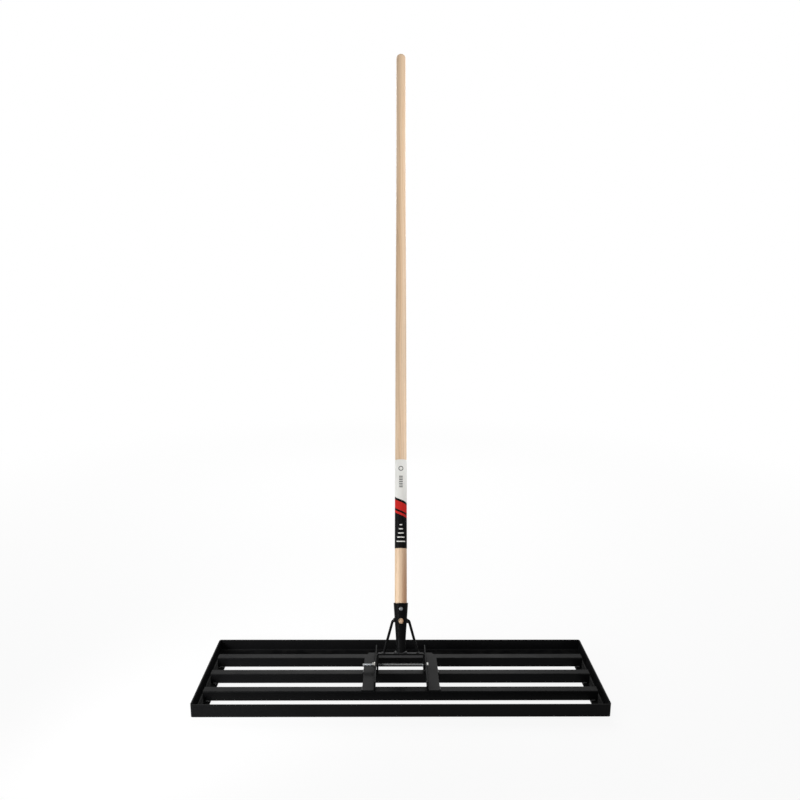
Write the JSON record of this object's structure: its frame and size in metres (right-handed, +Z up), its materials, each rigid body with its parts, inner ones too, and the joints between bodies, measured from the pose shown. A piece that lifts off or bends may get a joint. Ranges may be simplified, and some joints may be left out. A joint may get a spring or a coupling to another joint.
{
  "type": "levelling rake",
  "caption": "Levelling rake: an open angle-iron head with cross slats, a yoke that tilts on a cross bolt, and a long turned wooden handle in a tapered socket.",
  "frame": {"origin": "on the ground, under the middle of the whole part's plan, between the head and the far end of the handle", "axes": "+X to the right along the head, +Y to the back, the way the handle leans, +Z up"},
  "size_m": [0.914, 0.9251, 1.5922],
  "materials": {
    "black_coat": "semi-gloss powder coat",
    "zinc": "bright zinc plate",
    "ash": "sanded, clear oiled",
    "label": "satin vinyl"
  },
  "bodies": {
    "head": {"front_rail": "black_coat", "rear_rail": "black_coat", "left_rail": "black_coat", "right_rail": "black_coat", "front_slat": "black_coat", "middle_slat": "black_coat", "rear_slat": "black_coat", "left_bracket": "black_coat", "right_bracket": "black_coat", "slat_welds": "black_coat", "bracket_welds": "black_coat", "pivot_bolt": "zinc", "nut_washer": "zinc", "pivot_nut": "zinc"},
    "tilting_handle": {"yoke": "black_coat", "socket": "black_coat", "left_brace": "black_coat", "right_brace": "black_coat", "socket_weld": "black_coat", "brace_welds": "black_coat", "socket_screw": "zinc", "handle": "ash", "label": "label"}
  },
  "joints": [
    {"name": "handle_tilt", "type": "hinge", "parent": "head", "child": "tilting_handle", "pos_m": [0, -0.33557, 0.0425], "axis": [1, 0, 0], "range_deg": [-60, 113]}
  ]
}
